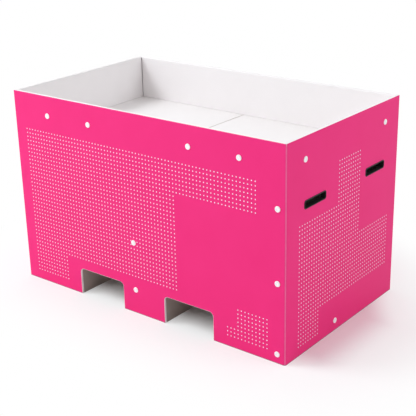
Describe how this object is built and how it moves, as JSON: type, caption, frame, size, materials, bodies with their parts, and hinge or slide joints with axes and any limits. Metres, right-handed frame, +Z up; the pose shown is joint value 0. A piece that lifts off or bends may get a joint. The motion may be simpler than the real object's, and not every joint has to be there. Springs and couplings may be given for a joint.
{
  "type": "cardboard display table",
  "caption": "Free-standing cardboard display table: a recessed deck inside a printed folded sleeve, with slotted partitions and tunnels for forks underneath.",
  "frame": {"origin": "middle of the footprint, on the floor", "axes": "+X along the length to the right end, +Y from front to back, +Z up"},
  "size_m": [1.2044, 0.7044, 0.74],
  "materials": {
    "printed_board": "printed and varnished corrugated board, white inside",
    "white_board": "matte white-lined corrugated board",
    "white_plastic": "moulded, satin",
    "black_plastic": "moulded, matte"
  },
  "bodies": {
    "root": {"printed_sleeve": "printed_board", "left_deck_board": "white_board", "right_deck_board": "white_board", "right_end_support": "white_board", "left_end_support": "white_board", "cross_partition": "white_board", "front_long_partition": "white_board", "rear_long_partition": "white_board", "left_fork_channel": "white_board", "right_fork_channel": "white_board", "right_front_hand_grip": "black_plastic", "right_rear_hand_grip": "black_plastic", "left_front_hand_grip": "black_plastic", "left_rear_hand_grip": "black_plastic", "front_top_rivet_studs": "white_plastic", "front_top_rivet_caps": "white_plastic", "right_top_rivet_studs": "white_plastic", "right_top_rivet_caps": "white_plastic", "front_corner_rivet_studs": "white_plastic", "front_corner_rivet_caps": "white_plastic", "front_partition_rivet_studs": "white_plastic", "front_partition_rivet_caps": "white_plastic", "right_base_rivet_studs": "white_plastic", "right_base_rivet_caps": "white_plastic", "rear_corner_rivet_studs": "white_plastic", "rear_corner_rivet_caps": "white_plastic", "rear_partition_rivet_studs": "white_plastic", "rear_partition_rivet_caps": "white_plastic", "left_base_rivet_studs": "white_plastic", "left_base_rivet_caps": "white_plastic"}
  },
  "joints": []
}
